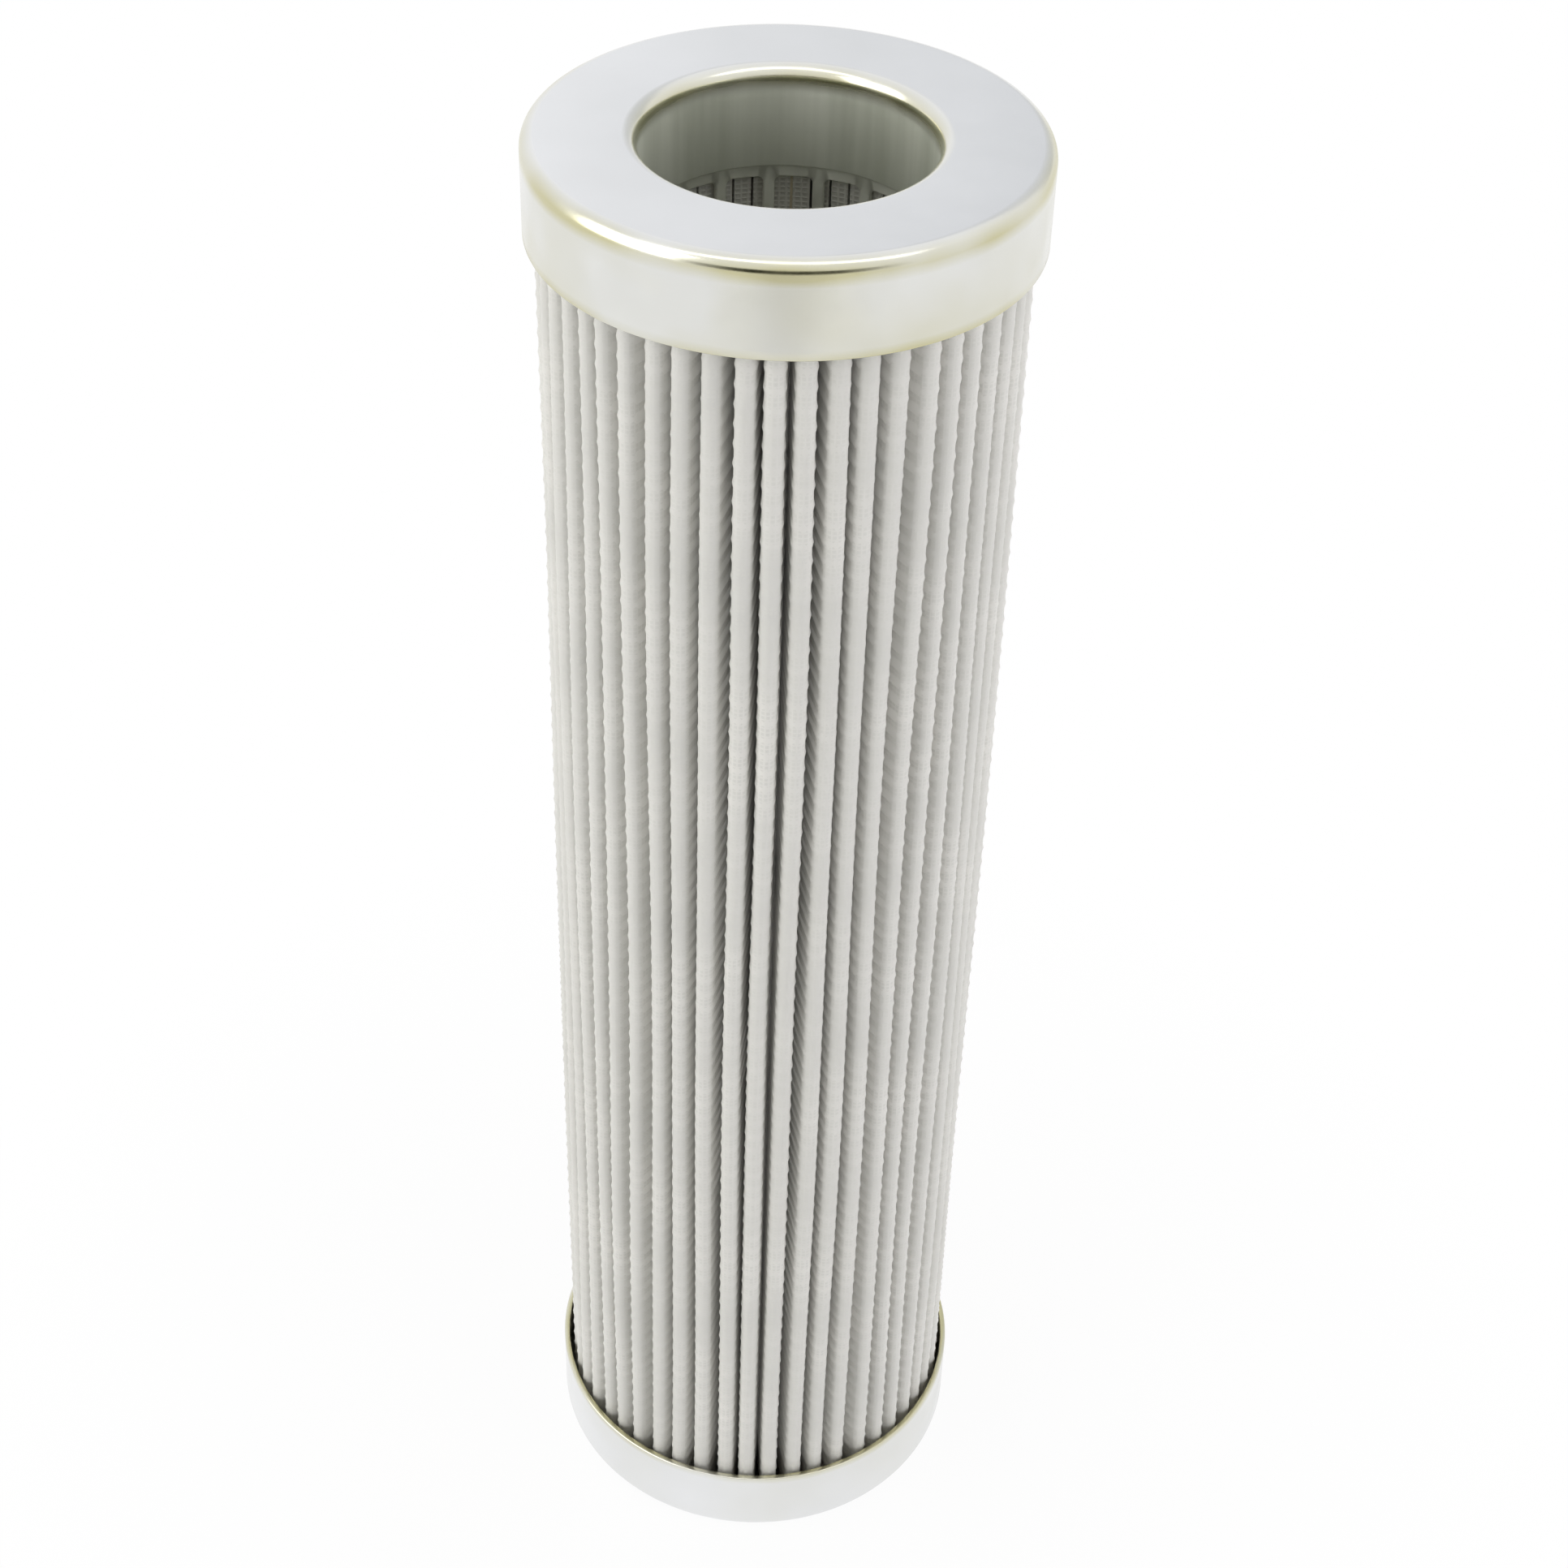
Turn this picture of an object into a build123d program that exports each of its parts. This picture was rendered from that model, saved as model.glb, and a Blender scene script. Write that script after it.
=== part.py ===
"""Pleated hydraulic filter element: two drawn steel end caps, a slotted core tube and a folded pack.

The origin is the centre of the closed end's outer face. +Z runs up the element, to the open end.
Bends and folds are runs of flats, laid tangent to the true round, so that their faces stay few.
"""

import os
from math import cos, pi, radians, sin

from build123d import *

# ---- Driving dimensions, in millimetres and degrees ----

element_length = 215.0

# the two caps, drawn from one gauge of sheet
cap_radius = 30.0
cap_sheet = 0.8
rim_bend = 1.6
skirt_depth = 11.7
bore_radius = 17.0
lip_bend = 1.6
collar_depth = 12.6
bend_flat_count = 2

# the core tube, which slides over the open cap's collar
core_clearance = 0.1
core_wall = 0.8
plain_end = 13.6
slot_width = 4.8
slot_columns = 19
slot_rows = 4
slot_bridge = 4.0
first_slot_angle = 11.9

# the cured adhesive that holds the folded pack in both caps
potting_depth = 3.0

# the folded pack: three sheets laid together and pleated as one
outer_mesh_thickness = 0.3
media_thickness = 0.5
inner_mesh_thickness = 0.3
leg_gap = 0.3
pack_clearance = 0.1
tip_clearance = 0.4
first_pleat_angle = 2.2
fold_flat = 0.5

# ---- Sizes that follow from them ----

skirt_bore_radius = cap_radius - cap_sheet
collar_radius = bore_radius + cap_sheet
core_bore_radius = collar_radius + core_clearance
core_radius = core_bore_radius + core_wall

top_inner_face = element_length - cap_sheet
core_length = top_inner_face - cap_sheet
pack_base = cap_sheet + potting_depth
pack_length = element_length - 2 * pack_base

pack_thickness = outer_mesh_thickness + media_thickness + inner_mesh_thickness
root_radius = core_radius + pack_clearance + pack_thickness
pleat_count = int(2 * pi * root_radius / (2 * pack_thickness + leg_gap))
half_pitch = 180 / pleat_count
pleat_half_width = root_radius * sin(radians(half_pitch))
tip_centre_radius = skirt_bore_radius - tip_clearance - pleat_half_width
pleat_angles = [first_pleat_angle + pleat * 2 * half_pitch for pleat in range(pleat_count)]


def rounded(centre, radius, first_angle, last_angle, flat_count=bend_flat_count):
    """Corners of a run of equal flats that lie tangent to an arc, as the sides before and after do."""
    turn = (last_angle - first_angle) / (flat_count + 1)
    corner_radius = radius / cos(radians(turn / 2))
    corner_angles = [first_angle + (corner + 0.5) * turn for corner in range(flat_count + 1)]
    return [Vector(*centre) + Vector(corner_radius, 0).rotate(Axis.Z, angle) for angle in corner_angles]


# ---- The end caps ----

# The open cap: a deep-drawn ring whose outer edge is a skirt and whose bore is turned down as a collar.
with BuildPart() as top_end_cap:
    with BuildSketch(Plane.XZ):
        with BuildLine():
            Polyline(
                *rounded((bore_radius + lip_bend, element_length - lip_bend), lip_bend, 180, 90),
                *rounded((cap_radius - rim_bend, element_length - rim_bend), rim_bend, 90, 0),
                (cap_radius, element_length - skirt_depth),
                (skirt_bore_radius, element_length - skirt_depth),
                (skirt_bore_radius, top_inner_face),
                (collar_radius, top_inner_face),
                (collar_radius, element_length - collar_depth),
                (bore_radius, element_length - collar_depth),
                close=True,
            )
        make_face()
    revolve(axis=Axis.Z)
top_end_cap.part.label = "top_end_cap"
pieces = [top_end_cap.part]

# The closed cap: the same skirt round a plain blind face.
with BuildPart() as bottom_end_cap:
    with BuildSketch(Plane.XZ):
        with BuildLine():
            Polyline(
                (0, 0),
                *rounded((cap_radius - rim_bend, rim_bend), rim_bend, -90, 0),
                (cap_radius, skirt_depth),
                (skirt_bore_radius, skirt_depth),
                (skirt_bore_radius, cap_sheet),
                (0, cap_sheet),
                close=True,
            )
        make_face()
    revolve(axis=Axis.Z)
bottom_end_cap.part.label = "bottom_end_cap"
pieces.append(bottom_end_cap.part)

# ---- The core tube ----

slotted_length = core_length - 2 * plain_end
slot_pitch = (slotted_length + slot_bridge) / slot_rows
slot_length = slot_pitch - slot_bridge
first_slot_height = cap_sheet + plain_end + slot_length / 2

# A thin tube that keeps the pack from collapsing, pierced by rows of slots that pass the clean oil.
with BuildPart() as core_tube:
    with BuildSketch(Plane.XY.offset(cap_sheet)):
        Circle(core_radius)
        Circle(core_bore_radius, mode=Mode.SUBTRACT)
    extrude(amount=core_length)
    for row in range(slot_rows):
        with Locations((0, 0, first_slot_height + row * slot_pitch)):
            with PolarLocations(core_radius, slot_columns, start_angle=first_slot_angle):
                Box(4 * core_wall, slot_width, slot_length, mode=Mode.SUBTRACT)
core_tube.part.label = "core_tube"
pieces.append(core_tube.part)

# ---- The folded pack ----


def fold_line(depth):
    """Corners of the closed line that runs this deep below the pack's outer surface.

    Every pleat is a fin with parallel sides and a round tip, and its two sides meet those of the next
    fins at the root. A line inside the sheets keeps its depth from that surface: its tips are tighter,
    with fewer flats, and its roots are square.
    """
    half_width = pleat_half_width - depth
    tip_flat_count = 1 + 2 * int(half_width / fold_flat)
    root_drop = half_width * sin(radians(half_pitch))
    root_reach = (root_radius - depth - root_drop) / cos(radians(half_pitch))
    fin = rounded((tip_centre_radius, 0), half_width, -90, 90, tip_flat_count)
    fin.append(Vector(root_reach, half_width))
    if depth > 0:
        fin.insert(0, Vector(root_reach, -half_width))
    return [corner.rotate(Axis.Z, angle) for angle in pleat_angles for corner in fin]


def folded_sheet(outer_depth, thickness):
    """One sheet of the pack: the space between two fold lines, from one potting ring to the other."""
    with BuildPart() as sheet:
        with BuildSketch(Plane.XY.offset(pack_base)):
            with BuildLine():
                Polyline(*fold_line(outer_depth), close=True)
            make_face()
            with BuildLine():
                Polyline(*fold_line(outer_depth + thickness), close=True)
            make_face(mode=Mode.SUBTRACT)
        extrude(amount=pack_length)
    return sheet.part


# Coated wire mesh on the outside, glass-fibre media in the middle, and drainage mesh on the core.
outer_support_mesh = folded_sheet(0, outer_mesh_thickness)
outer_support_mesh.label = "outer_support_mesh"
pieces.append(outer_support_mesh)

filter_media = folded_sheet(outer_mesh_thickness, media_thickness)
filter_media.label = "filter_media"
pieces.append(filter_media)

inner_support_mesh = folded_sheet(outer_mesh_thickness + media_thickness, inner_mesh_thickness)
inner_support_mesh.label = "inner_support_mesh"
pieces.append(inner_support_mesh)

# The bead that closes the folded sheets into a ring, between the two legs of the rearmost pleat.
leg_face = pleat_half_width - pack_thickness
seam_reach = tip_centre_radius + leg_face
seam_angle = min(pleat_angles, key=lambda angle: abs(angle - 90))
with BuildPart() as side_seam:
    with BuildSketch(Plane.XY.offset(pack_base).rotated((0, 0, seam_angle))):
        with Locations((core_radius + pack_clearance, 0)):
            Rectangle(
                seam_reach - core_radius - pack_clearance,
                2 * leg_face,
                align=(Align.MIN, Align.CENTER),
            )
    extrude(amount=pack_length)
side_seam.part.label = "side_seam"
pieces.append(side_seam.part)

# ---- The potting ----


def potting_ring(base_height):
    """A flat ring of adhesive that fills a cap from the core tube out to the skirt."""
    with BuildPart() as ring:
        with BuildSketch(Plane.XY.offset(base_height)):
            Circle(skirt_bore_radius)
            Circle(core_radius, mode=Mode.SUBTRACT)
        extrude(amount=potting_depth)
    return ring.part


top_potting = potting_ring(top_inner_face - potting_depth)
top_potting.label = "top_potting"
pieces.append(top_potting)

bottom_potting = potting_ring(cap_sheet)
bottom_potting.label = "bottom_potting"
pieces.append(bottom_potting)

os.makedirs("parts", exist_ok=True)
for piece in pieces:
    export_step(piece, f"parts/{piece.label}.step")
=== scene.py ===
"""Pleated hydraulic filter element, dressed piece by piece in the order in which it is put together.

The frame's origin is the centre of the closed end's outer face, and +Z runs up to the open end.
Lengths are in metres and angles in radians, unless a name says otherwise.
"""

import bmesh
import bpy
import numpy as np
from mathutils import Matrix, Vector


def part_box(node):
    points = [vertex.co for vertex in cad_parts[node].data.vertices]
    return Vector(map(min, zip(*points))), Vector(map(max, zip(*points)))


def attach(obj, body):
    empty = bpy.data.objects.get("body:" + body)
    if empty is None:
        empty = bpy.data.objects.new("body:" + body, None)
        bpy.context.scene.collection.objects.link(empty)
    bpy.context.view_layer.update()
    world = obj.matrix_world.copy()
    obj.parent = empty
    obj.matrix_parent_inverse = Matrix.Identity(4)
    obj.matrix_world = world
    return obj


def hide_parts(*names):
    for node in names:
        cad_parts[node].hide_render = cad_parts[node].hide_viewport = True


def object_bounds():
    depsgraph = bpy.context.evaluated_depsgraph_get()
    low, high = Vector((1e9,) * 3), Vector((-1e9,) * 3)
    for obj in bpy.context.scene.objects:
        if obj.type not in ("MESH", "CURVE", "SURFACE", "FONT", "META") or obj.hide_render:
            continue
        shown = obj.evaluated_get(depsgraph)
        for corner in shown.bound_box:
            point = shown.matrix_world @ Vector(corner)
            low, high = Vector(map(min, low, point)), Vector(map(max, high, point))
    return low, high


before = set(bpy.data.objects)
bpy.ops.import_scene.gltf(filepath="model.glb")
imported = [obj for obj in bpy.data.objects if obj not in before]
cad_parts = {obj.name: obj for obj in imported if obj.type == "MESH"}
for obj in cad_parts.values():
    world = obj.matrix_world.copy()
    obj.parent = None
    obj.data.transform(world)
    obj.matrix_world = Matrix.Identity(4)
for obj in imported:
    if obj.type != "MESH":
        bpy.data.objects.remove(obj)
cad_low, cad_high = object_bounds()

# ---- Core tube ----
# Steel sheet 0.8 mm thick, pierced with rows of slots, rolled and zinc plated. It stands between the
# two caps, over the open cap's collar, and keeps the folded pack from collapsing.

core_radius = 0.0187
core_wall = 0.0008
core_plain_end = 0.0136
slot_bridge = 0.004
slot_width = 0.0048
slot_corner = 0.0008
slot_corner_points = 5
slot_columns = 19
slot_rows = 4
first_slot_angle = np.radians(11.9)
pierced_edge = 0.00012
core_light = (0.9, 0.91, 0.83, 1)
core_dark = (0.76, 0.77, 0.70, 1)


def build_mesh(name, grids, material, sharp_degrees=40, weld=1e-7, chart=None, **point_values):
    """A mesh object from grids of points, each given as (points, wraps round, wraps across).

    Every four neighbouring points of a grid become one face, and points that coincide are welded.
    A chart is the cloth map of a single grid, with one more row or column where the grid wraps. Each
    of the point values is an attribute, given point by point in the order of the grids.
    """
    corners = []
    faces = []
    start = 0
    for points, wraps_round, wraps_across in grids:
        rows, columns = points.shape[:2]
        index = start + np.arange(rows * columns).reshape(rows, columns)
        if wraps_round:
            index = np.vstack([index, index[:1]])
        if wraps_across:
            index = np.hstack([index, index[:, :1]])
        quads = np.stack([index[:-1, :-1], index[1:, :-1], index[1:, 1:], index[:-1, 1:]], axis=-1)
        corners.append(points.reshape(-1, 3))
        faces.append(quads.reshape(-1, 4))
        start += rows * columns
    mesh = bpy.data.meshes.new(name)
    mesh.from_pydata(np.vstack(corners), [], np.vstack(faces))
    for value_name, values in point_values.items():
        attribute = mesh.attributes.new(value_name, "FLOAT", "POINT")
        attribute.data.foreach_set("value", np.asarray(values, np.float32))
    if chart is not None:
        places = np.stack([chart[:-1, :-1], chart[1:, :-1], chart[1:, 1:], chart[:-1, 1:]], axis=-2)
        mesh.uv_layers.new(name="cloth").data.foreach_set("uv", places.astype(np.float32).ravel())
    welded = bmesh.new()
    welded.from_mesh(mesh)
    bmesh.ops.remove_doubles(welded, verts=welded.verts, dist=weld)
    bmesh.ops.dissolve_degenerate(welded, edges=welded.edges, dist=weld)
    bmesh.ops.recalc_face_normals(welded, faces=welded.faces)
    welded.to_mesh(mesh)
    welded.free()
    mesh.polygons.foreach_set("use_smooth", np.ones(len(mesh.polygons), bool))
    mesh.set_sharp_from_angle(angle=np.radians(sharp_degrees))
    mesh.materials.append(material)
    piece = bpy.data.objects.new(name, mesh)
    bpy.context.scene.collection.objects.link(piece)
    return piece


def round_axis(radii, angles, heights):
    """Points at those distances from the element's axis, angles round it and heights."""
    radii, angles, heights = np.broadcast_arrays(radii, angles, heights)
    return np.stack([radii * np.cos(angles), radii * np.sin(angles), heights], axis=-1)


def bare_nodes(owner):
    """The emptied node tree of a material or a world, as its nodes and its links."""
    owner.use_nodes = True
    owner.node_tree.nodes.clear()
    return owner.node_tree.nodes, owner.node_tree.links


def new_material(name):
    """A material with nothing but its output, its Principled BSDF and its Object coordinates."""
    material = bpy.data.materials.new(name)
    nodes, links = bare_nodes(material)
    output = nodes.new("ShaderNodeOutputMaterial")
    surface = nodes.new("ShaderNodeBsdfPrincipled")
    place = nodes.new("ShaderNodeTexCoord")
    links.new(surface.outputs["BSDF"], output.inputs["Surface"])
    return material, nodes, links, surface, place.outputs["Object"]


def new_group(name, inward, outward):
    """An empty node group with named sockets, given as {name: socket type} each way."""
    group = bpy.data.node_groups.new(name, "ShaderNodeTree")
    for direction, sockets in (("INPUT", inward), ("OUTPUT", outward)):
        for socket_name, kind in sockets.items():
            group.interface.new_socket(socket_name, in_out=direction, socket_type="NodeSocket" + kind)
    enter, leave = group.nodes.new("NodeGroupInput"), group.nodes.new("NodeGroupOutput")
    return group, group.nodes, group.links, enter.outputs, leave.inputs


def noise(nodes, links, vector, scale, detail):
    """Noise of that scale over the vector, as its Fac output."""
    texture = nodes.new("ShaderNodeTexNoise")
    texture.inputs["Scale"].default_value = scale
    texture.inputs["Detail"].default_value = detail
    links.new(vector, texture.inputs["Vector"])
    return texture.outputs["Fac"]


def ramp(nodes, links, value, low=0, high=1, start=0):
    """The value drawn out evenly, so that low gives the start, high gives 1, and it stops there."""
    drawn_out = nodes.new("ShaderNodeMapRange")
    drawn_out.inputs["From Min"].default_value = low
    drawn_out.inputs["From Max"].default_value = high
    drawn_out.inputs["To Min"].default_value = start
    links.new(value, drawn_out.inputs["Value"])
    return drawn_out.outputs["Result"]


def cloudy(nodes, links, vector, scale, detail):
    """That noise with its middle drawn out, so that it reaches from 0 to 1."""
    return ramp(nodes, links, noise(nodes, links, vector, scale, detail), low=0.3, high=0.7)


def stretched(nodes, links, vector, ways):
    """The vector with each of its three ways scaled, which draws a pattern out along the small ones."""
    mapping = nodes.new("ShaderNodeMapping")
    mapping.inputs["Scale"].default_value = ways
    links.new(vector, mapping.inputs["Vector"])
    return mapping.outputs["Vector"]


def connect(links, value, socket):
    """Feeds a socket with another socket's output or with a plain value."""
    if isinstance(value, bpy.types.NodeSocket):
        links.new(value, socket)
    else:
        socket.default_value = value


def blend(nodes, links, factor, first, second, kind="RGBA"):
    """A mix of two colours or numbers by a factor, each given as a socket or a plain value."""
    mix = nodes.new("ShaderNodeMix")
    mix.data_type = kind
    active = [socket for socket in mix.inputs if socket.enabled]
    for socket, value in zip(active, (factor, first, second)):
        connect(links, value, socket)
    return next(socket for socket in mix.outputs if socket.enabled)


def calculate(nodes, links, operation, first, second=0):
    """One step of arithmetic on two numbers, each given as a socket or a plain value."""
    step = nodes.new("ShaderNodeMath")
    step.operation = operation
    for socket, value in zip(step.inputs, (first, second)):
        connect(links, value, socket)
    return step.outputs[0]


def raised(nodes, links, height, strength, distance):
    """A normal bumped by the height."""
    bump = nodes.new("ShaderNodeBump")
    bump.inputs["Strength"].default_value = strength
    bump.inputs["Distance"].default_value = distance
    links.new(height, bump.inputs["Height"])
    return bump.outputs["Normal"]


def make_zinc_plating():
    """The look of thin zinc on steel: cloudy patches in its colour and gloss, and a fine grain.

    The colour is broad noise between the light and the dark one, the roughness finer noise between the
    smoothest and the roughest, and the normal a bump of very fine noise and of noise drawn out round
    the element, as the rings that the press leaves on a skirt.
    """
    tones = {"Light": "Color", "Dark": "Color", "Smoothest": "Float", "Roughest": "Float"}
    group, nodes, links, enter, leave = new_group(
        "zinc_plating",
        {"Vector": "Vector", **tones},
        {"Colour": "Color", "Roughness": "Float", "Normal": "Vector"},
    )
    clouds = cloudy(nodes, links, enter["Vector"], scale=45, detail=3)
    links.new(blend(nodes, links, clouds, enter["Light"], enter["Dark"]), leave["Colour"])
    sheen = cloudy(nodes, links, enter["Vector"], scale=220, detail=3)
    gloss = blend(nodes, links, sheen, enter["Smoothest"], enter["Roughest"], "FLOAT")
    links.new(gloss, leave["Roughness"])
    grain = noise(nodes, links, enter["Vector"], scale=1800, detail=2)
    drawn_round = stretched(nodes, links, enter["Vector"], ways=(0.04, 0.04, 1))
    rings = noise(nodes, links, drawn_round, scale=1500, detail=2)
    ring_share = 0.5
    relief = blend(nodes, links, ring_share, grain, rings, "FLOAT")
    links.new(raised(nodes, links, relief, strength=0.08, distance=0.0001), leave["Normal"])
    return group


zinc_plating = make_zinc_plating()


def plated_steel(name, light, dark, smoothest, roughest, stain_and_shade=None, drawn_tones=None):
    """Zinc-plated steel. A stain colour shows in patches, the more the higher the cast attribute.

    Where its drawn attribute is 1 the zinc is matt, and streaked along the draw with the drawn tones.
    The stain is partly the zinc's own yellow cast at bends and cuts, and partly painted shade: under
    the open cap's rim it paints a dark line that stands in for a dark reflection.
    """
    weakest_patch = 0.5
    strongest_patch = 1.5
    drawn_roughness = 0.5
    drawn_metal = 0.6
    material, nodes, links, surface, place = new_material(name)
    surface.inputs["Metallic"].default_value = 1
    plating = nodes.new("ShaderNodeGroup")
    plating.node_tree = zinc_plating
    plating.inputs["Light"].default_value = light
    plating.inputs["Dark"].default_value = dark
    plating.inputs["Smoothest"].default_value = smoothest
    plating.inputs["Roughest"].default_value = roughest
    links.new(place, plating.inputs["Vector"])
    colour = plating.outputs["Colour"]
    if stain_and_shade is not None:
        cast = nodes.new("ShaderNodeAttribute")
        cast.attribute_name = "cast"
        clouds = cloudy(nodes, links, place, scale=60, detail=2)
        patches = blend(nodes, links, clouds, weakest_patch, strongest_patch, "FLOAT")
        share = calculate(nodes, links, "MULTIPLY", cast.outputs["Fac"], patches)
        colour = blend(nodes, links, share, colour, stain_and_shade)
    roughness = plating.outputs["Roughness"]
    if drawn_tones is not None:
        drawn = nodes.new("ShaderNodeAttribute")
        drawn.attribute_name = "drawn"
        along_draw = stretched(nodes, links, place, ways=(1, 1, 0.06))
        clouds = cloudy(nodes, links, along_draw, scale=170, detail=4)
        streaks = blend(nodes, links, clouds, *drawn_tones)
        colour = blend(nodes, links, drawn.outputs["Fac"], colour, streaks)
        roughness = blend(nodes, links, drawn.outputs["Fac"], roughness, drawn_roughness, "FLOAT")
        metal = blend(nodes, links, drawn.outputs["Fac"], 1.0, drawn_metal, "FLOAT")
        links.new(metal, surface.inputs["Metallic"])
    links.new(colour, surface.inputs["Base Color"])
    links.new(roughness, surface.inputs["Roughness"])
    links.new(plating.outputs["Normal"], surface.inputs["Normal"])
    return material


def slot_and_cell(slot_length, cell_width, cell_length):
    """The outline of one slot and of the cell of wall round it, as matching points across and along.

    Each corner of the slot is a quarter circle. Its first half is paired with points up the cell's
    side, its second half with points along the cell's end, so that neighbouring cells share theirs.
    """
    quarter = np.linspace(0, np.pi / 2, slot_corner_points)
    straight_x = slot_width / 2 - slot_corner
    straight_y = slot_length / 2 - slot_corner
    half_cell_x, half_cell_y = cell_width / 2, cell_length / 2
    turns = [0, np.pi / 4, np.pi / 2]
    slot_x = straight_x + slot_corner * np.cos(quarter)
    slot_y = straight_y + slot_corner * np.sin(quarter)
    cell_x = np.interp(quarter, turns, [half_cell_x, half_cell_x, straight_x])
    cell_y = np.interp(quarter, turns, [straight_y, half_cell_y, half_cell_y])
    loops = []
    for across, along in ((slot_x, slot_y), (cell_x, cell_y)):
        across = np.append(across, [straight_x / 2, 0])
        along = np.append(along, [along[-1], along[-1]])
        corner = np.stack([across, along], -1)
        end = np.vstack([corner, corner[-2::-1] * [-1, 1]])
        loops.append(np.vstack([end, end[::-1] * [1, -1]]))
    return loops


core_low, core_high = (corner.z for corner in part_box("core_tube"))
cell_length = (core_high - core_low - 2 * core_plain_end + slot_bridge) / slot_rows
cell_width = 2 * np.pi * core_radius / slot_columns
slot_length = cell_length - slot_bridge
core_bore_radius = core_radius - core_wall
slot_loop, cell_loop = slot_and_cell(slot_length, cell_width, cell_length)
eased_loop = slot_loop + pierced_edge * np.sign(cell_loop - slot_loop)
layers = [
    (cell_loop, core_bore_radius),
    (eased_loop, core_bore_radius),
    (slot_loop, core_bore_radius + pierced_edge),
    (slot_loop, core_radius - pierced_edge),
    (eased_loop, core_radius),
    (cell_loop, core_radius),
]
wall_points = np.stack([loop for loop, radius in layers])
wall_radii = np.array([radius for loop, radius in layers])[:, None]
column_angles = first_slot_angle + np.arange(slot_columns) * 2 * np.pi / slot_columns
core_grids = []
for row in range(slot_rows):
    middle = core_low + core_plain_end + slot_length / 2 + row * cell_length
    for angle in column_angles:
        turned = angle + wall_points[..., 0] / core_radius
        core_grids.append((round_axis(wall_radii, turned, middle + wall_points[..., 1]), False, True))
end_x = cell_loop[np.isclose(cell_loop[:, 1], cell_length / 2), 0]
end_angles = (column_angles[:, None] + end_x / core_radius).ravel().round(decimals=9)
end_angles = np.unique(end_angles)[:, None]
for tube_end, inward in ((core_low, 1), (core_high, -1)):
    pierced_from = tube_end + inward * (core_plain_end - slot_bridge / 2)
    radii = np.array([core_bore_radius, core_bore_radius, core_radius, core_radius])
    heights = np.array([pierced_from, tube_end, tube_end, pierced_from])
    core_grids.append((round_axis(radii, end_angles, heights), True, False))
core_steel = plated_steel("core_steel", core_light, core_dark, smoothest=0.5, roughest=0.65)
core_tube = build_mesh("pierced_tube", core_grids, core_steel, weld=3e-6)
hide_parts("core_tube")
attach(core_tube, "root")

# ---- Drainage mesh ----
# Epoxy-coated steel wire cloth on the inside of the pack, next to the core. It is laid under the
# media and pleated with it, and holds the folds open so that the clean oil can run to the core.

pleat_count = 50
half_pitch = np.pi / pleat_count
first_pleat_angle = np.radians(2.2)
root_radius = 0.0199
tip_radius = 0.0288
outer_gauge = 0.0003
media_gauge = 0.0005
drainage_gauge = 0.0003
fin_half_width = root_radius * np.sin(half_pitch)
seam_pleat = 12
lean = np.radians(0.27)
sag = 0.00022
swell = 0.035
stiffness_power = 1.5
golden_angle = 2.399963
crests_per_metre = 1600
wire_sharpness = 6
coat_cloud_scale = 90
pack_low, pack_high = (corner.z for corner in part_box("outer_support_mesh"))


def fold_surface(depth, heights, tip_steps, side_steps):
    """The closed line of the pack's fins, this deep below its outer face, carried up the heights.

    Across, a fin is a straight side, a half circle over the tip and a straight side back. Up, it
    leans round the axis, sinks and swells by slow sine waves, so many radians to the metre, whose
    phases move on by a golden angle's multiple from fin to fin. They do so by nothing at the root and
    in full at the tip, as a power of the way out. The fin that holds the seam stands straight.
    """
    half_width = fin_half_width - depth
    tip_centre = tip_radius - fin_half_width
    square_root = (root_radius - depth - half_width * np.sin(half_pitch)) / np.cos(half_pitch)
    root_reach = max(square_root, half_width / np.tan(half_pitch))
    over = np.linspace(-np.pi / 2, np.pi / 2, tip_steps + 1)
    side = np.linspace(root_reach, tip_centre, side_steps + 1)[:-1]
    across = np.concatenate([0 * side - half_width, half_width * np.sin(over), 0 * side + half_width])
    reach = np.concatenate([side, tip_centre + half_width * np.cos(over), side[::-1]])
    way_out = np.clip((reach - root_radius) / (tip_radius - root_radius), 0, 1)
    fin = np.arange(pleat_count)[:, None]
    share = way_out**stiffness_power * (fin != seam_pleat)
    height = heights[:, None, None]

    def wave(per_metre, multiple):
        """One such sine wave for every fin and height."""
        return np.sin(per_metre * height + multiple * (golden_angle * fin))

    slow_lean = wave(31, 3)
    quick_lean = 0.5 * wave(67, 5)
    steady_lean = 1.6 * wave(0, 7)
    leaning = slow_lean + quick_lean + steady_lean
    sinking = 0.5 + 0.5 * wave(43, 11)
    swelling = wave(53, 13)
    width = across * (1 + swell * share * swelling)
    out = reach - sag * share * sinking
    angle = np.arctan2(width, out) + first_pleat_angle + 2 * half_pitch * fin + lean * leaning * share
    return round_axis(np.hypot(width, out), angle, height).reshape(len(heights), -1, 3)


def folded_sheet(name, node, depth, gauge, material, rows, tip_steps, side_steps):
    """One sheet of the pack, as the skin that runs up its outer fold line and back down its inner one.

    Its chart gives the way along the fold line and the way up the sheet.
    """
    heights = np.linspace(pack_low, pack_high, rows)
    outer = fold_surface(depth, heights, tip_steps, side_steps)
    inner = fold_surface(depth + gauge, heights[::-1], tip_steps, side_steps)
    skin = np.vstack([outer, inner])
    steps = np.linalg.norm(np.diff(outer[0], axis=0, append=outer[:1, 0]), axis=-1)
    along = np.append(0, np.cumsum(steps))
    up = np.concatenate([heights, heights[::-1], heights[:1]])
    chart = np.stack(np.meshgrid(along, up), axis=-1)
    sheet = build_mesh(name, [(skin, True, True)], material, sharp_degrees=60, chart=chart)
    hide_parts(node)
    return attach(sheet, "root")


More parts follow.
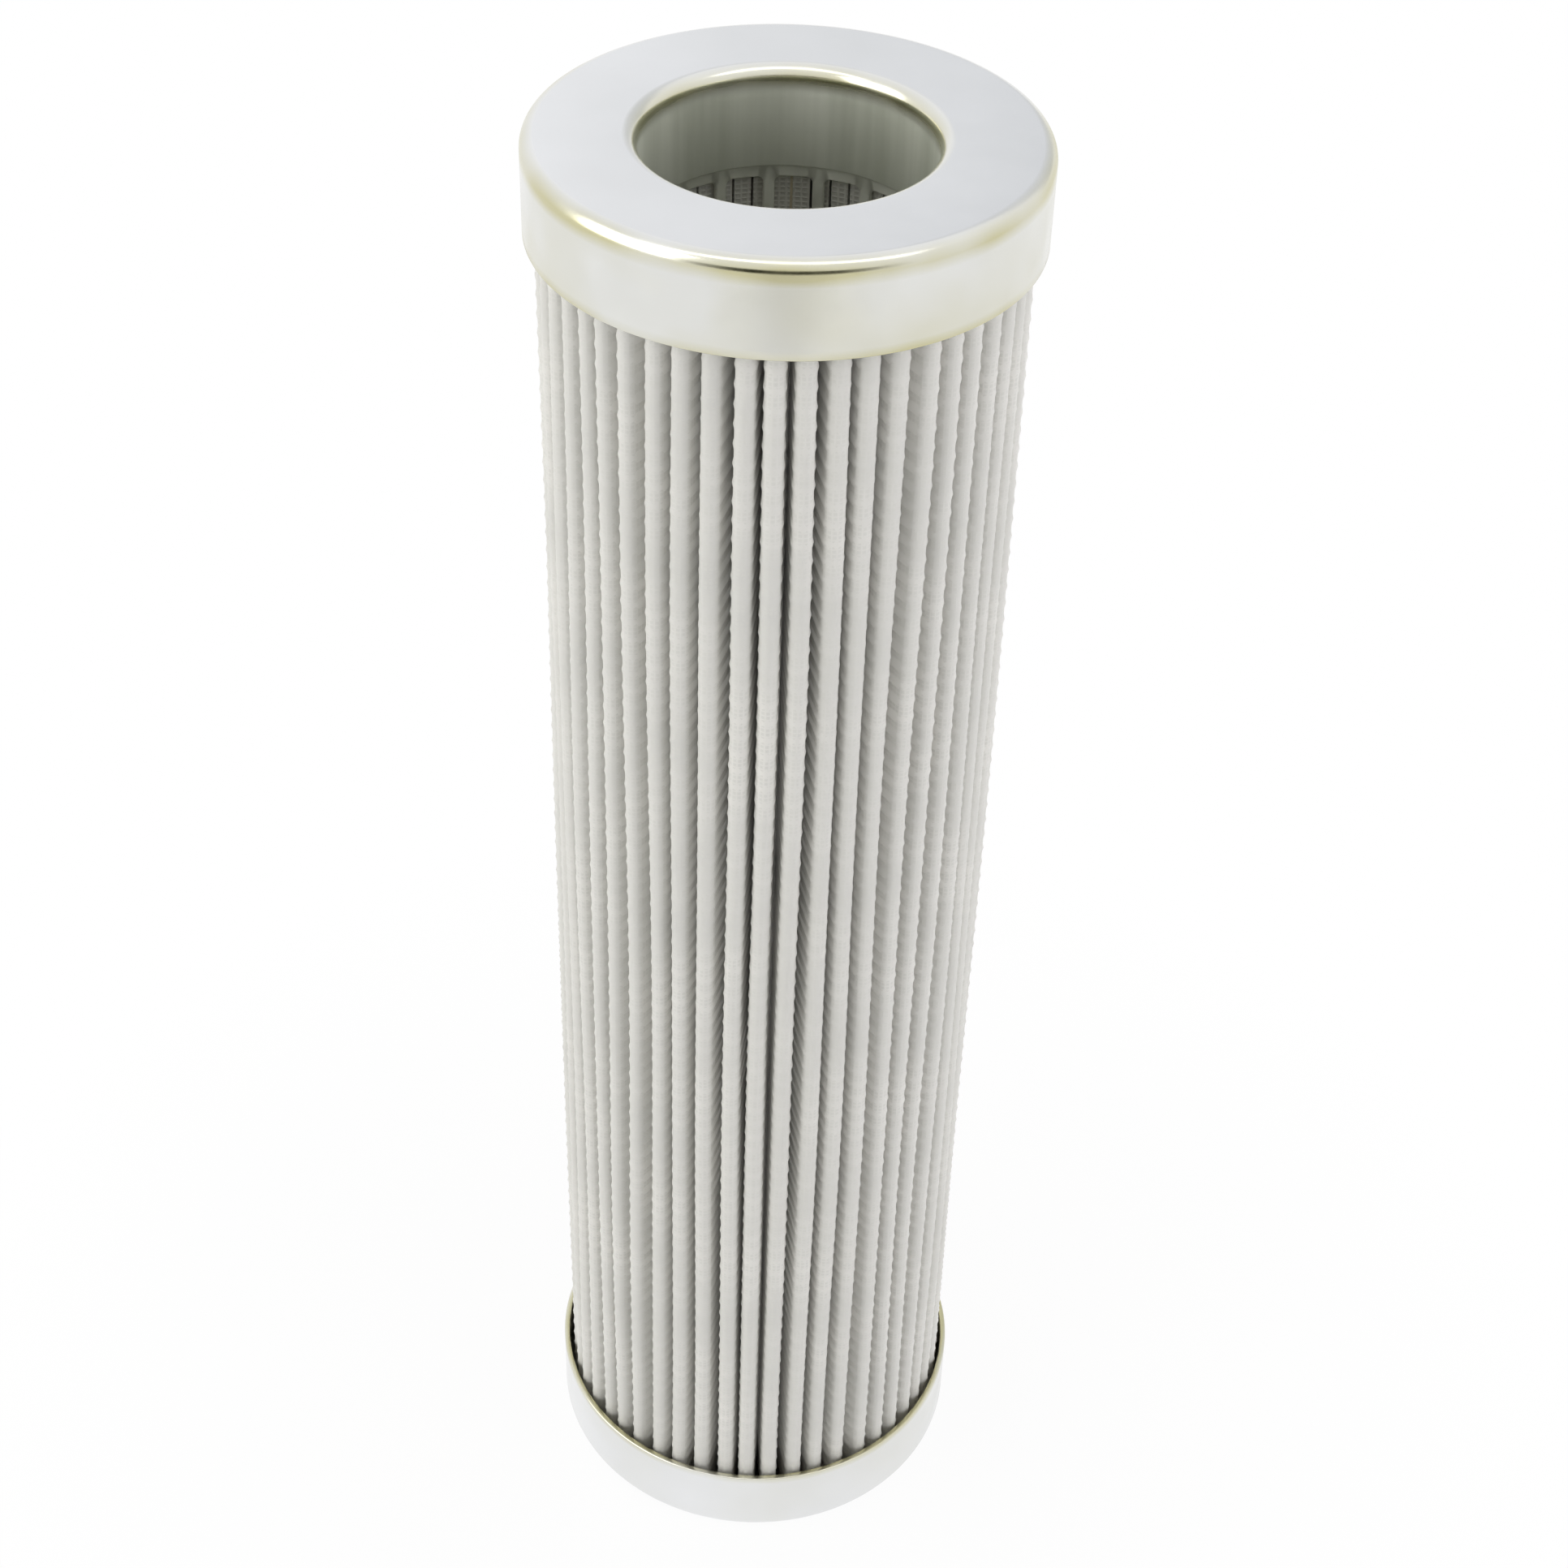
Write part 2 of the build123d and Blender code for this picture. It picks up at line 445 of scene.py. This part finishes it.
def make_wire_cloth():
    """Crossed wires dipped in a coat, over the cloth map: how high the surface stands, from 0 to 1.

    Across and along, the height is a high power of a cosine whose crests are one spacing apart, and
    the higher of the two counts.
    """
    group, nodes, links, enter, leave = new_group(
        "wire_cloth", {"Vector": "Vector", "Crests Per Metre": "Float"}, {"Height": "Float"}
    )
    ways = nodes.new("ShaderNodeSeparateXYZ")
    links.new(enter["Vector"], ways.inputs[0])
    half_turns = calculate(nodes, links, "MULTIPLY", enter["Crests Per Metre"], np.pi)
    crests = []
    for way in (ways.outputs["X"], ways.outputs["Y"]):
        wave = calculate(nodes, links, "COSINE", calculate(nodes, links, "MULTIPLY", way, half_turns))
        upright = calculate(nodes, links, "ABSOLUTE", wave)
        crests.append(calculate(nodes, links, "POWER", upright, wire_sharpness))
    links.new(calculate(nodes, links, "MAXIMUM", *crests), leave["Height"])
    return group


wire_cloth = make_wire_cloth()


def coated_cloth(name, light, dark, hollow_and_shade, roughness, relief):
    """Wire cloth dipped in epoxy: two uneven tones, and the hollow colour between the wires."""
    material, nodes, links, surface, place = new_material(name)
    surface.inputs["Roughness"].default_value = roughness
    chart = nodes.new("ShaderNodeUVMap")
    chart.uv_map = "cloth"
    cloth = nodes.new("ShaderNodeGroup")
    cloth.node_tree = wire_cloth
    cloth.inputs["Crests Per Metre"].default_value = crests_per_metre
    links.new(chart.outputs["UV"], cloth.inputs["Vector"])
    clouds = cloudy(nodes, links, place, coat_cloud_scale, detail=4)
    tone = blend(nodes, links, clouds, light, dark)
    # between the wires the colour goes to the hollow one: partly the fibre seen through, partly painted
    # shade
    colour = blend(nodes, links, cloth.outputs["Height"], hollow_and_shade, tone)
    links.new(colour, surface.inputs["Base Color"])
    normal = raised(nodes, links, cloth.outputs["Height"], strength=relief, distance=0.0001)
    links.new(normal, surface.inputs["Normal"])
    return material


drainage_coat = coated_cloth(
    "drainage_coat",
    light=(0.54, 0.535, 0.5, 1),
    dark=(0.48, 0.475, 0.445, 1),
    # between the wires: partly the fibre seen through, partly painted shade
    hollow_and_shade=(0.42, 0.415, 0.385, 1),
    roughness=0.5,
    relief=0.6,
)
drainage_mesh = folded_sheet(
    "drainage_mesh",
    "inner_support_mesh",
    outer_gauge + media_gauge,
    drainage_gauge,
    drainage_coat,
    rows=24,
    tip_steps=4,
    side_steps=1,
)

# ---- Filter media ----
# A mat of fine glass fibre bound with resin, 0.5 mm thick, which holds back the dirt. It is laid
# between the two meshes and pleated with them.


def fibre_mat(name, light, dark, roughness):
    """Bound glass fibre: matt, blotchy, and rough with fine crossing strands."""
    material, nodes, links, surface, place = new_material(name)
    surface.inputs["Roughness"].default_value = roughness
    tone = blend(nodes, links, cloudy(nodes, links, place, scale=300, detail=6), light, dark)
    links.new(tone, surface.inputs["Base Color"])
    strands = noise(nodes, links, place, scale=4000, detail=3)
    normal = raised(nodes, links, strands, strength=0.4, distance=0.0001)
    links.new(normal, surface.inputs["Normal"])
    return material


glass_fibre = fibre_mat(
    "glass_fibre", light=(0.74, 0.73, 0.68, 1), dark=(0.64, 0.63, 0.58, 1), roughness=0.9
)
media = folded_sheet(
    "glass_media",
    "filter_media",
    outer_gauge,
    media_gauge,
    glass_fibre,
    rows=24,
    tip_steps=6,
    side_steps=1,
)

# ---- Outer support mesh ----
# Epoxy-coated wire cloth on the outside of the pack, which takes the wear and keeps the fins apart.
# Its cross wires run round every fin and stand out from the coat as rounded beads.

coat_depth = 0.0001
cross_wire_spacing = 0.0025
bead_half_width = 0.0009
bead_crest_depth = -0.00004
bead_root_depth = 0.00013
epoxy_light = (0.71, 0.70, 0.665, 1)
epoxy_dark = (0.62, 0.615, 0.585, 1)
# the colour between the wires: partly the glass fibre seen through them, partly painted shade
epoxy_hollow_and_shade = (0.64, 0.635, 0.60, 1)

support_coat = coated_cloth(
    "support_coat", epoxy_light, epoxy_dark, epoxy_hollow_and_shade, roughness=0.55, relief=0.15
)
support_mesh = folded_sheet(
    "support_mesh",
    "outer_support_mesh",
    coat_depth,
    outer_gauge - coat_depth,
    support_coat,
    rows=40,
    tip_steps=10,
    side_steps=2,
)


def bead_coat(name, light, dark, roughness):
    """Smooth epoxy over a wire, in two uneven tones."""
    material, nodes, links, surface, place = new_material(name)
    surface.inputs["Roughness"].default_value = roughness
    clouds = cloudy(nodes, links, place, coat_cloud_scale, detail=4)
    links.new(blend(nodes, links, clouds, light, dark), surface.inputs["Base Color"])
    return material


def cross_wires():
    """A three-sided bead along the fold line at every spacing: two flanks above the sheet, one under."""
    count = int((pack_high - pack_low - 2 * bead_half_width) / cross_wire_spacing)
    first = (pack_low + pack_high - (count - 1) * cross_wire_spacing) / 2
    heights = first + np.arange(count) * cross_wire_spacing
    edges = [
        (bead_root_depth, -bead_half_width),
        (bead_crest_depth, 0),
        (bead_root_depth, bead_half_width),
    ]
    lines = [fold_surface(depth, heights + rise, tip_steps=4, side_steps=1) for depth, rise in edges]
    return [(bead, True, True) for bead in np.stack(lines, axis=1)]


bead_epoxy = bead_coat("bead_epoxy", epoxy_light, epoxy_dark, roughness=0.5)
support_wires = build_mesh("support_cross_wires", cross_wires(), bead_epoxy, sharp_degrees=80)
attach(support_wires, "root")

# ---- Side seam ----
# A bead of brown epoxy adhesive that closes the folded sheets into a ring. It is laid between the two
# legs of the rear fin, over the pack's whole height, and cures hard.


def cast_resin(name, light, dark, roughness):
    """Cured adhesive: smooth, with cloudy tones and shallow flow marks."""
    material, nodes, links, surface, place = new_material(name)
    surface.inputs["Roughness"].default_value = roughness
    tone = blend(nodes, links, cloudy(nodes, links, place, scale=120, detail=3), light, dark)
    links.new(tone, surface.inputs["Base Color"])
    flow = noise(nodes, links, place, scale=200, detail=1)
    normal = raised(nodes, links, flow, strength=0.3, distance=0.0003)
    links.new(normal, surface.inputs["Normal"])
    return material


seam_resin = cast_resin(
    "seam_resin", light=(0.45, 0.40, 0.30, 1), dark=(0.38, 0.33, 0.24, 1), roughness=0.4
)
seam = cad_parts["side_seam"]
seam.data.materials.clear()
seam.data.materials.append(seam_resin)

# ---- Potting ----
# Cast adhesive that fills each cap from the core tube out to the skirt and holds the pack's end. It
# follows the bend inside the cap, and creeps a little up the skirt and the tube as it sets.

cap_radius = 0.03
cap_sheet = 0.0008
rim_bend = 0.0016
creep = 0.0004
skirt_bore = cap_radius - cap_sheet
inner_bend = rim_bend - cap_sheet


def arc(centre, radius, first_degrees, last_degrees, steps):
    """Points along a circle's arc, both ends included."""
    angles = np.radians(np.linspace(first_degrees, last_degrees, steps + 1))
    return np.stack([centre[0] + radius * np.cos(angles), centre[1] + radius * np.sin(angles)], -1)


def lathed(name, profile, material, segments=256, closed=True, **profile_values):
    """The profile of distances from the axis and heights, turned a full circle round the axis."""
    angles = np.linspace(0, 2 * np.pi, segments, endpoint=False)[:, None]
    points = round_axis(profile[:, 0], angles, profile[:, 1])
    values = {key: np.tile(value, segments) for key, value in profile_values.items()}
    return build_mesh(name, [(points, True, closed)], material, **values)


potting_resin = cast_resin(
    "potting_resin", light=(0.16, 0.16, 0.13, 1), dark=(0.11, 0.11, 0.09, 1), roughness=0.35
)
for node, side in (("bottom_potting", 1), ("top_potting", -1)):
    ring_low, ring_high = (corner.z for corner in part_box(node))
    base, surface_height = (ring_low, ring_high) if side > 0 else (ring_high, ring_low)
    rounded = arc((skirt_bore - inner_bend, 0), inner_bend, -90, 0, steps=6)
    rounded[:, 1] = base + side * (rounded[:, 1] + inner_bend)
    ring_profile = np.vstack([
        [[core_radius, base]],
        rounded,
        [[skirt_bore, surface_height]],
        [[skirt_bore - creep, surface_height - side * creep / 2]],
        [[core_radius + creep, surface_height - side * creep / 2]],
        [[core_radius, surface_height]],
    ])
    potting = lathed("cast_" + node, ring_profile, potting_resin, segments=128)
    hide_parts(node)
    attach(potting, "root")

# ---- End caps ----
# Deep-drawn from 0.8 mm steel sheet and zinc plated. Each one's skirt turns along the pack; the open
# cap's bore is turned down into a collar for the core tube, and the closed cap is plain. The zinc has
# a yellow cast where the sheet is bent and cut. Just under the open cap's rim the cast is pushed into
# a dark line of painted shade, which stands in for a dark reflection there.

bore_radius = 0.017
lip_bend = 0.0016
skirt_depth = 0.0117
cut_round = 0.00015
bend_steps = 12
inner_steps = 8
cut_steps = 3

zinc_light = (0.835, 0.845, 0.865, 1)
zinc_dark = (0.775, 0.785, 0.80, 1)
# the zinc's yellow cast, darkened so that it also paints the shade line under the rim
zinc_yellow_and_shade = (0.60, 0.57, 0.36, 1)
collar_light = (0.8, 0.82, 0.73, 1)
collar_dark = (0.5, 0.525, 0.44, 1)

# how strong the yellow cast is, and how far it reaches from a bend or a cut; at the rim's foot and
# just below it, it is also painted shade
flat_cast = 0.0
collar_cast = 0.2
lip_cast = 0.8
rim_cast_and_shade = 1.1
below_rim_cast_and_shade = 0.8
skirt_top_cast = 0.35
skirt_foot_cast = 0.42
open_cut_cast = 0.8
closed_foot_cast = 0.1
closed_top_cast = 0.12
closed_cut_casts = (0.5, 0.6)
full_cast = 1.0
hidden_cast = 0.5
rim_reach = 1.4 * rim_bend
rim_fade = 1.9 * rim_bend
foot_reach = 2.2 * rim_bend
cut_reach = 8 * cut_round

zinc_plate = plated_steel(
    "zinc_plate",
    zinc_light,
    zinc_dark,
    smoothest=0.17,
    roughest=0.27,
    stain_and_shade=zinc_yellow_and_shade,
    drawn_tones=(collar_light, collar_dark),
)


def cut_edge(radius, height, first_degrees, last_degrees):
    """Points of the small round that cutting leaves on an edge, about that centre."""
    return arc((radius, height), cut_round, first_degrees, last_degrees, cut_steps)


def outline(runs):
    """A cap's outline and its cast, from runs of (points, cast at the first point, cast at the last)."""
    profile = np.vstack([points for points, first, last in runs])
    cast = np.concatenate([np.linspace(first, last, len(points)) for points, first, last in runs])
    return profile, cast


collar_low, cap_high = (corner.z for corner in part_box("top_end_cap"))
skirt_low = cap_high - skirt_depth
lip_centre = (bore_radius + lip_bend, cap_high - lip_bend)
rim_centre = (cap_radius - rim_bend, cap_high - rim_bend)
collar_radius = bore_radius + cap_sheet
open_profile, open_cast = outline([
    (cut_edge(bore_radius + cut_round, collar_low + cut_round, 270, 180), collar_cast, collar_cast),
    ([[bore_radius, lip_centre[1] - lip_bend]], collar_cast, collar_cast),
    (arc(lip_centre, lip_bend, 180, 90, bend_steps), lip_cast, flat_cast),
    # the rim's foot and the skirt just below it carry a dark line of painted shade
    (arc(rim_centre, rim_bend, 90, 0, bend_steps), flat_cast, rim_cast_and_shade),
    ([[cap_radius, cap_high - rim_reach]], below_rim_cast_and_shade, below_rim_cast_and_shade),
    ([[cap_radius, cap_high - rim_fade]], skirt_top_cast, skirt_top_cast),
    ([[cap_radius, skirt_low + cut_reach]], skirt_foot_cast, skirt_foot_cast),
    (cut_edge(cap_radius - cut_round, skirt_low + cut_round, 0, -90), open_cut_cast, full_cast),
    (cut_edge(skirt_bore + cut_round, skirt_low + cut_round, -90, -180), full_cast, hidden_cast),
    (arc(rim_centre, inner_bend, 0, 90, inner_steps), hidden_cast, hidden_cast),
    (arc(lip_centre, lip_bend - cap_sheet, 90, 180, inner_steps), hidden_cast, hidden_cast),
    (cut_edge(collar_radius - cut_round, collar_low + cut_round, 0, -90), full_cast, full_cast),
])
# the draw leaves the bore matt, from nothing at the lip's bend to fully so below it
below_lip = np.clip((lip_centre[1] - open_profile[:, 1]) / lip_bend, 0, 1)
open_drawn = below_lip * (open_profile[:, 0] < lip_centre[0])
open_cap = lathed("open_cap", open_profile, zinc_plate, cast=open_cast, drawn=open_drawn)
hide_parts("top_end_cap")
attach(open_cap, "root")

closed_low, closed_high = (corner.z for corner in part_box("bottom_end_cap"))
foot_centre = (cap_radius - rim_bend, closed_low + rim_bend)
closed_profile, closed_cast = outline([
    ([[0, closed_low]], flat_cast, flat_cast),
    (arc(foot_centre, rim_bend, -90, 0, bend_steps), flat_cast, closed_foot_cast),
    ([[cap_radius, closed_low + foot_reach]], closed_foot_cast, closed_foot_cast),
    ([[cap_radius, closed_high - cut_reach]], closed_top_cast, closed_top_cast),
    (cut_edge(cap_radius - cut_round, closed_high - cut_round, 0, 90), *closed_cut_casts),
    (cut_edge(skirt_bore + cut_round, closed_high - cut_round, 90, 180), full_cast, hidden_cast),
    (arc(foot_centre, inner_bend, 0, -90, inner_steps), hidden_cast, hidden_cast),
    ([[0, closed_low + cap_sheet]], hidden_cast, hidden_cast),
])
closed_cap = lathed("closed_cap", closed_profile, zinc_plate, closed=False, cast=closed_cast)
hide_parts("bottom_end_cap")
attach(closed_cap, "root")

# ---- Floor ----
# A plain sweep of matt white, a hair below the closed cap. It glows all white away from the element,
# and a little less at its foot, where the shadow shows.

floor_half = 30.0
floor_drop = 0.0002
floor_white = (0.9, 0.9, 0.9, 1)
glow_at_foot = 0.93
shadow_from = 0.03
shadow_to = 0.14


def panel(name, corners, material):
    """A flat panel of the set, with one face between four corners."""
    mesh = bpy.data.meshes.new(name)
    mesh.from_pydata(corners, [], [(0, 1, 2, 3)])
    mesh.materials.append(material)
    piece = bpy.data.objects.new(name, mesh)
    bpy.context.scene.collection.objects.link(piece)
    return piece


def mixed(nodes, links, factor, first, second):
    """Two shader nodes mixed by a factor and sent to a new material output."""
    mix = nodes.new("ShaderNodeMixShader")
    output = nodes.new("ShaderNodeOutputMaterial")
    links.new(factor, mix.inputs["Fac"])
    links.new(first.outputs[0], mix.inputs[1])
    links.new(second.outputs[0], mix.inputs[2])
    links.new(mix.outputs[0], output.inputs["Surface"])


def seen_rays(nodes, links):
    """1 for rays from the camera and those that a gloss or a glass sends on, and 0 for the rest."""
    rays = nodes.new("ShaderNodeLightPath").outputs
    seen = calculate(nodes, links, "MAXIMUM", rays["Is Camera Ray"], rays["Is Glossy Ray"])
    return calculate(nodes, links, "MAXIMUM", seen, rays["Is Transmission Ray"])


floor_paint = bpy.data.materials.new("floor_paint")
nodes, links = bare_nodes(floor_paint)
matt_white = nodes.new("ShaderNodeBsdfDiffuse")
matt_white.inputs["Color"].default_value = floor_white
glow = nodes.new("ShaderNodeEmission")
floor_place = nodes.new("ShaderNodeTexCoord")
distance = nodes.new("ShaderNodeVectorMath")
distance.operation = "LENGTH"
links.new(floor_place.outputs["Object"], distance.inputs[0])
glow_level = ramp(nodes, links, distance.outputs["Value"], shadow_from, shadow_to, start=glow_at_foot)
glow_share = calculate(nodes, links, "MULTIPLY", seen_rays(nodes, links), glow_level)
mixed(nodes, links, glow_share, matt_white, glow)

floor_corners = floor_half * np.array([[-1, -1, 0], [1, -1, 0], [1, 1, 0], [-1, 1, 0]])
floor_corners[:, 2] = cad_low.z - floor_drop
floor = panel("floor", floor_corners, floor_paint)

# ---- Light ----
# A white tent stands all round. A wide soft lamp hangs above the front, a weak one stands before the
# element, and two stand at each side. The metal mirrors only the one above and the left front one.

tent_level = 0.22
side_width = 0.8
side_height = 1.1

world = bpy.data.worlds.new("tent")
bpy.context.scene.world = world
nodes, links = bare_nodes(world)
tent = nodes.new("ShaderNodeBackground")
tent.inputs["Color"].default_value = (1, 1, 1, 1)
tent_output = nodes.new("ShaderNodeOutputWorld")
links.new(ramp(nodes, links, seen_rays(nodes, links), start=tent_level), tent.inputs["Strength"])
links.new(tent.outputs[0], tent_output.inputs["Surface"])


def soft_lamp(name, place, width, height, power, colour=(1, 1, 1), mirrored=True):
    """An area lamp at a place, turned to face the middle of the element, and mirrored by gloss or not."""
    lamp = bpy.data.lights.new(name, "AREA")
    lamp.shape = "RECTANGLE"
    lamp.size = width
    lamp.size_y = height
    lamp.energy = power
    lamp.color = colour
    holder = bpy.data.objects.new(name, lamp)
    holder.visible_glossy = mirrored
    bpy.context.scene.collection.objects.link(holder)
    aim = (cad_low + cad_high) / 2
    holder.location = place
    holder.rotation_euler = (aim - Vector(place)).to_track_quat("-Z", "Y").to_euler()


def side_lamp(name, place, power, colour=(1, 1, 1), mirrored=False):
    """One of the four tall lamps that stand at the sides."""
    soft_lamp(name, place, side_width, side_height, power, colour, mirrored)


soft_lamp("overhead_lamp", (0, -0.3, 1.0), width=1.4, height=0.2, power=1.4, colour=(1, 0.98, 0.92))
soft_lamp("front_lamp", (0, -1.0, 0.22), width=0.2, height=0.5, power=1.3, mirrored=False)
side_lamp("left_lamp", (-0.85, -0.35, 0.36), power=6.7, colour=(1, 0.995, 0.975), mirrored=True)
side_lamp("right_lamp", (0.85, -0.35, 0.36), power=5.8, colour=(0.985, 0.975, 1))
side_lamp("left_rear_lamp", (-0.75, 0.75, 0.34), power=5.0)
side_lamp("right_rear_lamp", (0.75, 0.75, 0.34), power=5.0)

# ---- Cards ----
# Three cards give the bright metal something to reflect: a dark wide one in front, at the height of
# the open end, a narrow pale one under it, and a pale one behind on the right. Only gloss sees them.


def reflected_card(name, tone, middle, behind, low, high, half_width, solid_half_width):
    """An upright card that is solid in its middle and clears evenly towards its two ends."""
    paint = bpy.data.materials.new(name)
    nodes, links = bare_nodes(paint)
    place = nodes.new("ShaderNodeTexCoord")
    ways = nodes.new("ShaderNodeSeparateXYZ")
    links.new(place.outputs["Object"], ways.inputs[0])
    offset = calculate(nodes, links, "SUBTRACT", ways.outputs["X"], middle)
    reach = calculate(nodes, links, "ABSOLUTE", offset)
    fade = ramp(nodes, links, reach, solid_half_width, half_width)
    solid = nodes.new("ShaderNodeEmission")
    solid.inputs["Color"].default_value = tone
    mixed(nodes, links, fade, solid, nodes.new("ShaderNodeBsdfTransparent"))
    left, right = middle - half_width, middle + half_width
    ends = [(left, behind, low), (right, behind, low), (right, behind, high), (left, behind, high)]
    card = panel(name, ends, paint)
    card.visible_camera = card.visible_diffuse = card.visible_shadow = False


reflected_card(
    "wide_card",
    tone=(0.03, 0.03, 0.02, 1),
    middle=0,
    behind=-0.33,
    low=0.13,
    high=0.27,
    half_width=0.35,
    solid_half_width=0.1,
)
reflected_card(
    "narrow_card",
    tone=(0.84, 0.84, 0.85, 1),
    middle=0,
    behind=-0.33,
    low=0,
    high=0.13,
    half_width=0.11,
    solid_half_width=0.015,
)
reflected_card(
    "rear_card",
    tone=(0.74, 0.75, 0.76, 1),
    middle=0.35,
    behind=0.6,
    low=0.3,
    high=0.9,
    half_width=0.5,
    solid_half_width=0.2,
)

# ---- Camera ----
# The camera stands above the front of the element and looks down at it through a slightly long lens,
# turned a trace to the right and rolled a little.

camera_place = Vector((0, -0.28109, 0.35070))
tilt_down = 0.68395
turn_right = 0.006324
camera_roll = 0.032425
lens_millimetres = 62.76
sensor_millimetres = 36

camera_data = bpy.data.cameras.new("camera")
camera_data.lens = lens_millimetres
camera_data.sensor_width = sensor_millimetres
camera = bpy.data.objects.new("camera", camera_data)
bpy.context.scene.collection.objects.link(camera)
upright = Vector((0, 0, 1))
flat_ahead = Vector((np.sin(turn_right), np.cos(turn_right), 0))
ahead = np.cos(tilt_down) * flat_ahead - np.sin(tilt_down) * upright
level_right = flat_ahead.cross(upright)
level_up = level_right.cross(ahead)
right = np.cos(camera_roll) * level_right + np.sin(camera_roll) * level_up
up = np.cos(camera_roll) * level_up - np.sin(camera_roll) * level_right
turned_to = Matrix((right, up, -ahead)).transposed().to_4x4()
camera.matrix_world = Matrix.Translation(camera_place) @ turned_to
bpy.context.scene.camera = camera
bpy.context.scene.view_settings.view_transform = "Standard"
